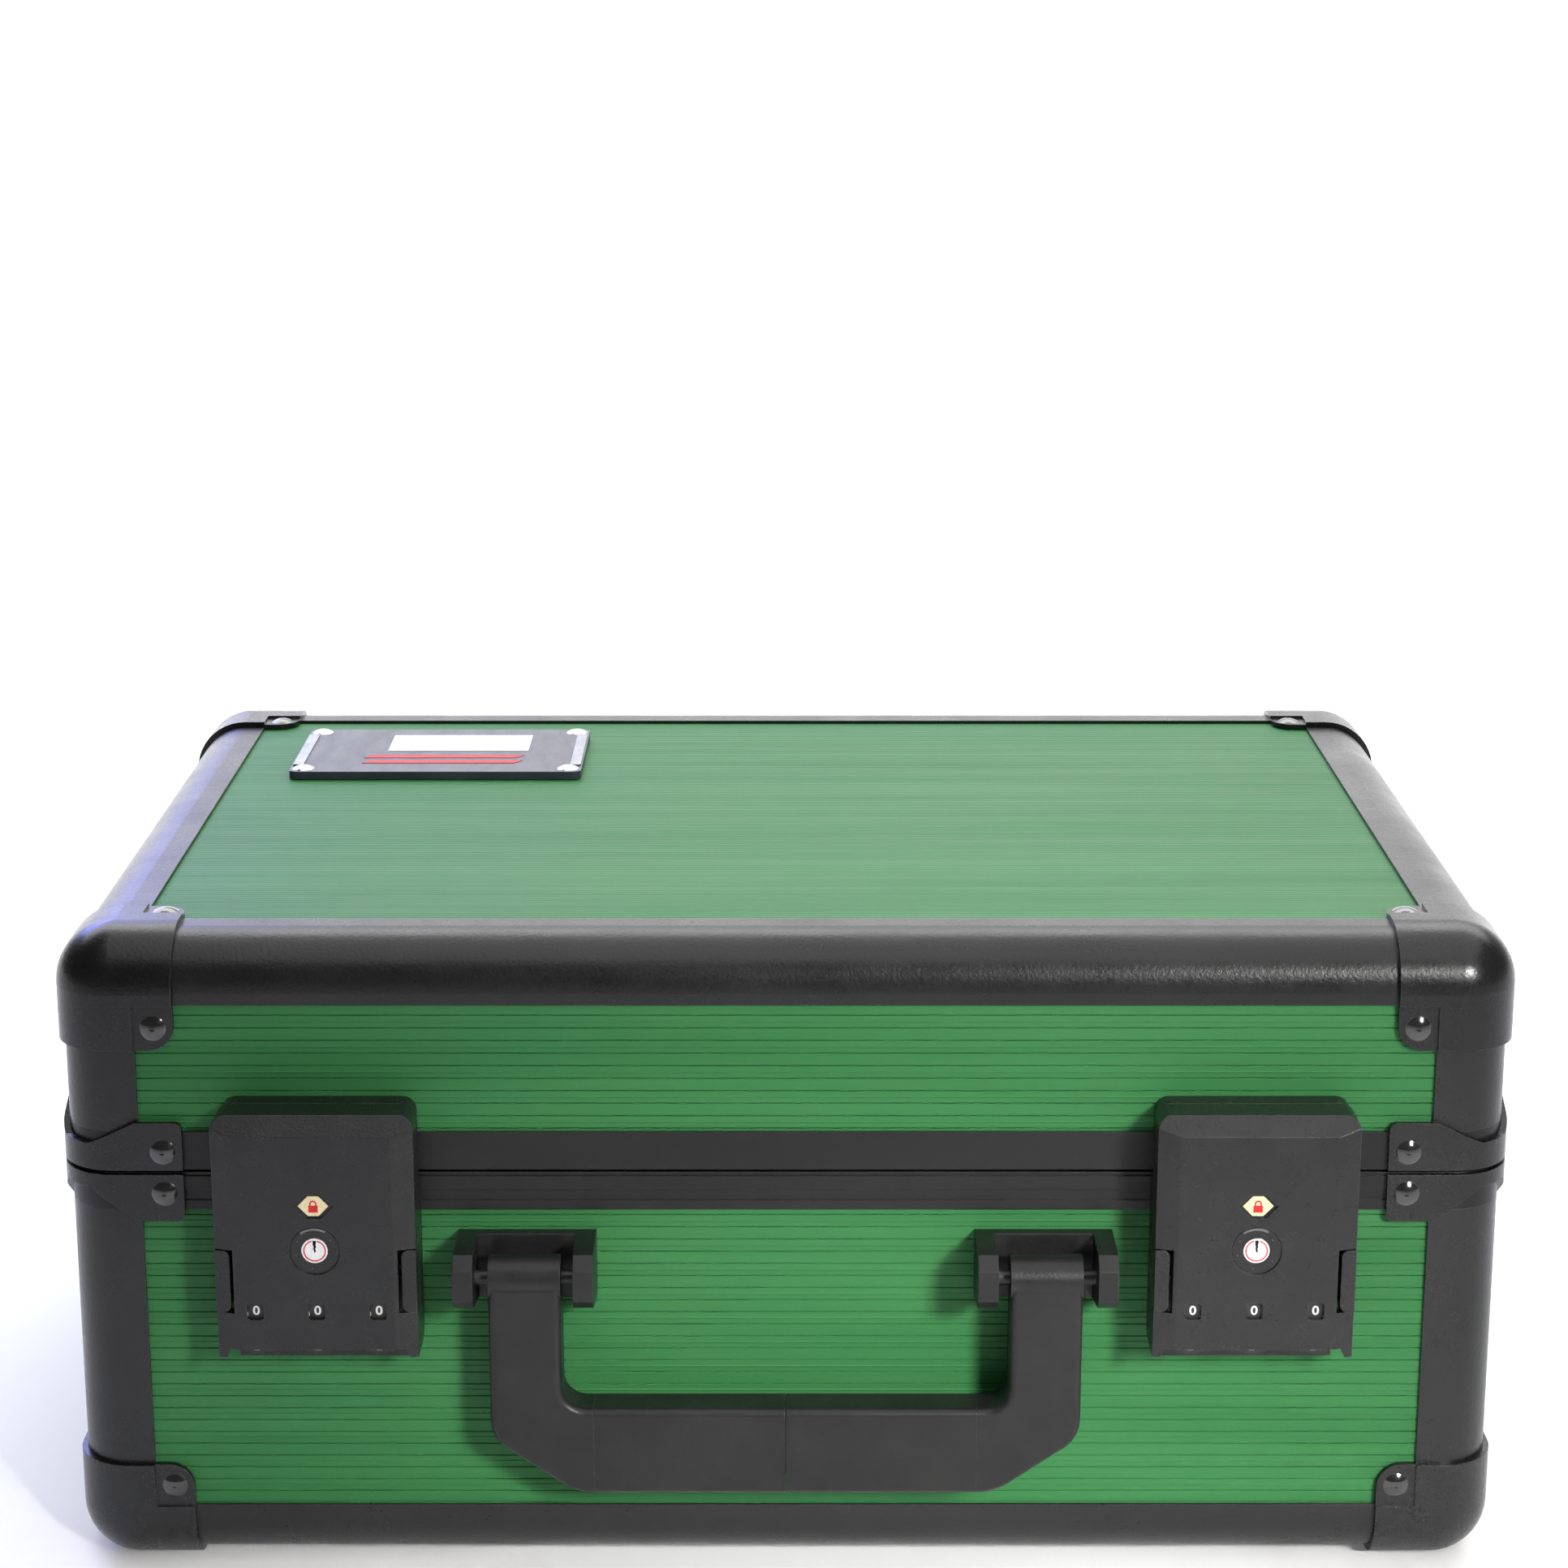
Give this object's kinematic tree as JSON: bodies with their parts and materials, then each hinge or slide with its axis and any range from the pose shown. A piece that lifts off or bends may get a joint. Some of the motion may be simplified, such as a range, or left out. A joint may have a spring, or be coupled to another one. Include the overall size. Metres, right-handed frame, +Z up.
{
  "type": "pistol case",
  "caption": "Lockable hard case for handguns: green ribbed panels in black rounded rails, ball corners, combination locks, bail handle and hinged foam-lined lid.",
  "frame": {"origin": "under the middle of the whole object's outline, on the plane that the ball corners stand on", "axes": "+X to the right seen from the lock side, +Y from the locks towards the hinges, +Z up through the lid"},
  "size_m": [0.4726, 0.3568, 0.2214],
  "materials": {
    "green_panel": "satin green ribbed laminate over board",
    "black_rail": "black anodised, fine grain",
    "black_frame": "black anodised",
    "black_steel": "satin black paint",
    "rivet": "gloss black",
    "pin_steel": "zinc plated",
    "foam": "open-cell foam",
    "plate_metal": "dark satin plate with bright edges",
    "bright_screw": "polished",
    "lock_metal": "matt black die casting",
    "handle_plastic": "fine moulded grain",
    "dial_plastic": "black with white numbers",
    "plug_metal": "satin chrome"
  },
  "bodies": {
    "case": {"base_bottom_panel": "green_panel", "base_front_panel": "green_panel", "base_back_panel": "green_panel", "base_side_panels": "green_panel", "base_long_rails": "black_rail", "base_side_rails": "black_rail", "base_corner_rails": "black_rail", "base_frame": "black_frame", "base_ball_corners": "black_steel", "base_waist_brackets": "black_steel", "base_rivets": "rivet", "base_foam": "foam", "wall_foam": "foam", "handle_brackets": "handle_plastic", "handle_bracket_rivets": "rivet", "handle_pins": "pin_steel", "base_hinge_leaves": "black_steel", "hinge_pins": "pin_steel", "base_hinge_rivets": "rivet", "left_lock_base": "lock_metal", "left_lock_pivots": "pin_steel", "right_lock_base": "lock_metal", "right_lock_pivots": "pin_steel"},
    "lid": {"lid_top_panel": "green_panel", "lid_front_panel": "green_panel", "lid_back_panel": "green_panel", "lid_side_panels": "green_panel", "lid_long_rails": "black_rail", "lid_side_rails": "black_rail", "lid_corner_rails": "black_rail", "lid_frame": "black_frame", "lid_ball_corners": "black_steel", "lid_waist_brackets": "black_steel", "lid_rivets": "rivet", "lid_foam": "foam", "name_plate": "plate_metal", "name_plate_screws": "bright_screw", "lock_keepers": "lock_metal", "lid_hinge_leaves": "black_steel", "lid_hinge_rivets": "rivet"},
    "handle": {"handle_frame": "handle_plastic", "handle_grip": "handle_plastic"},
    "left_cover": {"left_lock_cover": "lock_metal", "left_lock_latch": "pin_steel", "left_lock_springs": "pin_steel"},
    "left_dial_1": {"left_lock_dial_1": "dial_plastic"},
    "left_dial_2": {"left_lock_dial_2": "dial_plastic"},
    "left_dial_3": {"left_lock_dial_3": "dial_plastic"},
    "left_plug": {"left_lock_plug": "plug_metal"},
    "left_left_button": {"left_lock_left_button": "lock_metal"},
    "left_right_button": {"left_lock_right_button": "lock_metal"},
    "right_cover": {"right_lock_cover": "lock_metal", "right_lock_latch": "pin_steel", "right_lock_springs": "pin_steel"},
    "right_dial_1": {"right_lock_dial_1": "dial_plastic"},
    "right_dial_2": {"right_lock_dial_2": "dial_plastic"},
    "right_dial_3": {"right_lock_dial_3": "dial_plastic"},
    "right_plug": {"right_lock_plug": "plug_metal"},
    "right_left_button": {"right_lock_left_button": "lock_metal"},
    "right_right_button": {"right_lock_right_button": "lock_metal"}
  },
  "joints": [
    {"name": "lid_hinge", "type": "hinge", "parent": "case", "child": "lid", "pos_m": [0, 0.1748, 0.1408], "axis": [-1, 0, 0], "range_deg": [0, 95]},
    {"name": "handle_hinge", "type": "hinge", "parent": "case", "child": "handle", "pos_m": [0, -0.1659, 0.1093], "axis": [-1, 0, 0], "range_deg": [0, 90]},
    {"name": "left_cover_hinge", "type": "hinge", "parent": "case", "child": "left_cover", "pos_m": [-0.1495, -0.1598, 0.0899], "axis": [1, 0, 0], "range_deg": [0, 90]},
    {"name": "left_dial_1_turn", "type": "hinge", "parent": "left_cover", "child": "left_dial_1", "pos_m": [-0.1691, -0.1734, 0.095], "axis": [0, 1, 0], "continuous": true},
    {"name": "left_dial_2_turn", "type": "hinge", "parent": "left_cover", "child": "left_dial_2", "pos_m": [-0.1495, -0.1734, 0.095], "axis": [0, 1, 0], "continuous": true},
    {"name": "left_dial_3_turn", "type": "hinge", "parent": "left_cover", "child": "left_dial_3", "pos_m": [-0.1299, -0.1734, 0.095], "axis": [0, 1, 0], "continuous": true},
    {"name": "left_plug_turn", "type": "hinge", "parent": "left_cover", "child": "left_plug", "pos_m": [-0.1495, -0.1684, 0.1219], "axis": [0, 1, 0], "range_deg": [0, 90]},
    {"name": "left_left_button_press", "type": "slide", "parent": "left_cover", "child": "left_left_button", "axis": [1, 0, 0], "range_m": [0, 0.0009], "stiffness_N_per_m": 300, "springref_m": -0.001},
    {"name": "left_right_button_press", "type": "slide", "parent": "left_cover", "child": "left_right_button", "axis": [-1, 0, 0], "range_m": [0, 0.0009], "stiffness_N_per_m": 300, "springref_m": -0.001},
    {"name": "right_cover_hinge", "type": "hinge", "parent": "case", "child": "right_cover", "pos_m": [0.1495, -0.1598, 0.0899], "axis": [1, 0, 0], "range_deg": [0, 90]},
    {"name": "right_dial_1_turn", "type": "hinge", "parent": "right_cover", "child": "right_dial_1", "pos_m": [0.1299, -0.1734, 0.095], "axis": [0, 1, 0], "continuous": true},
    {"name": "right_dial_2_turn", "type": "hinge", "parent": "right_cover", "child": "right_dial_2", "pos_m": [0.1495, -0.1734, 0.095], "axis": [0, 1, 0], "continuous": true},
    {"name": "right_dial_3_turn", "type": "hinge", "parent": "right_cover", "child": "right_dial_3", "pos_m": [0.1691, -0.1734, 0.095], "axis": [0, 1, 0], "continuous": true},
    {"name": "right_plug_turn", "type": "hinge", "parent": "right_cover", "child": "right_plug", "pos_m": [0.1495, -0.1684, 0.1219], "axis": [0, 1, 0], "range_deg": [0, 90]},
    {"name": "right_left_button_press", "type": "slide", "parent": "right_cover", "child": "right_left_button", "axis": [1, 0, 0], "range_m": [0, 0.0009], "stiffness_N_per_m": 300, "springref_m": -0.001},
    {"name": "right_right_button_press", "type": "slide", "parent": "right_cover", "child": "right_right_button", "axis": [-1, 0, 0], "range_m": [0, 0.0009], "stiffness_N_per_m": 300, "springref_m": -0.001}
  ]
}
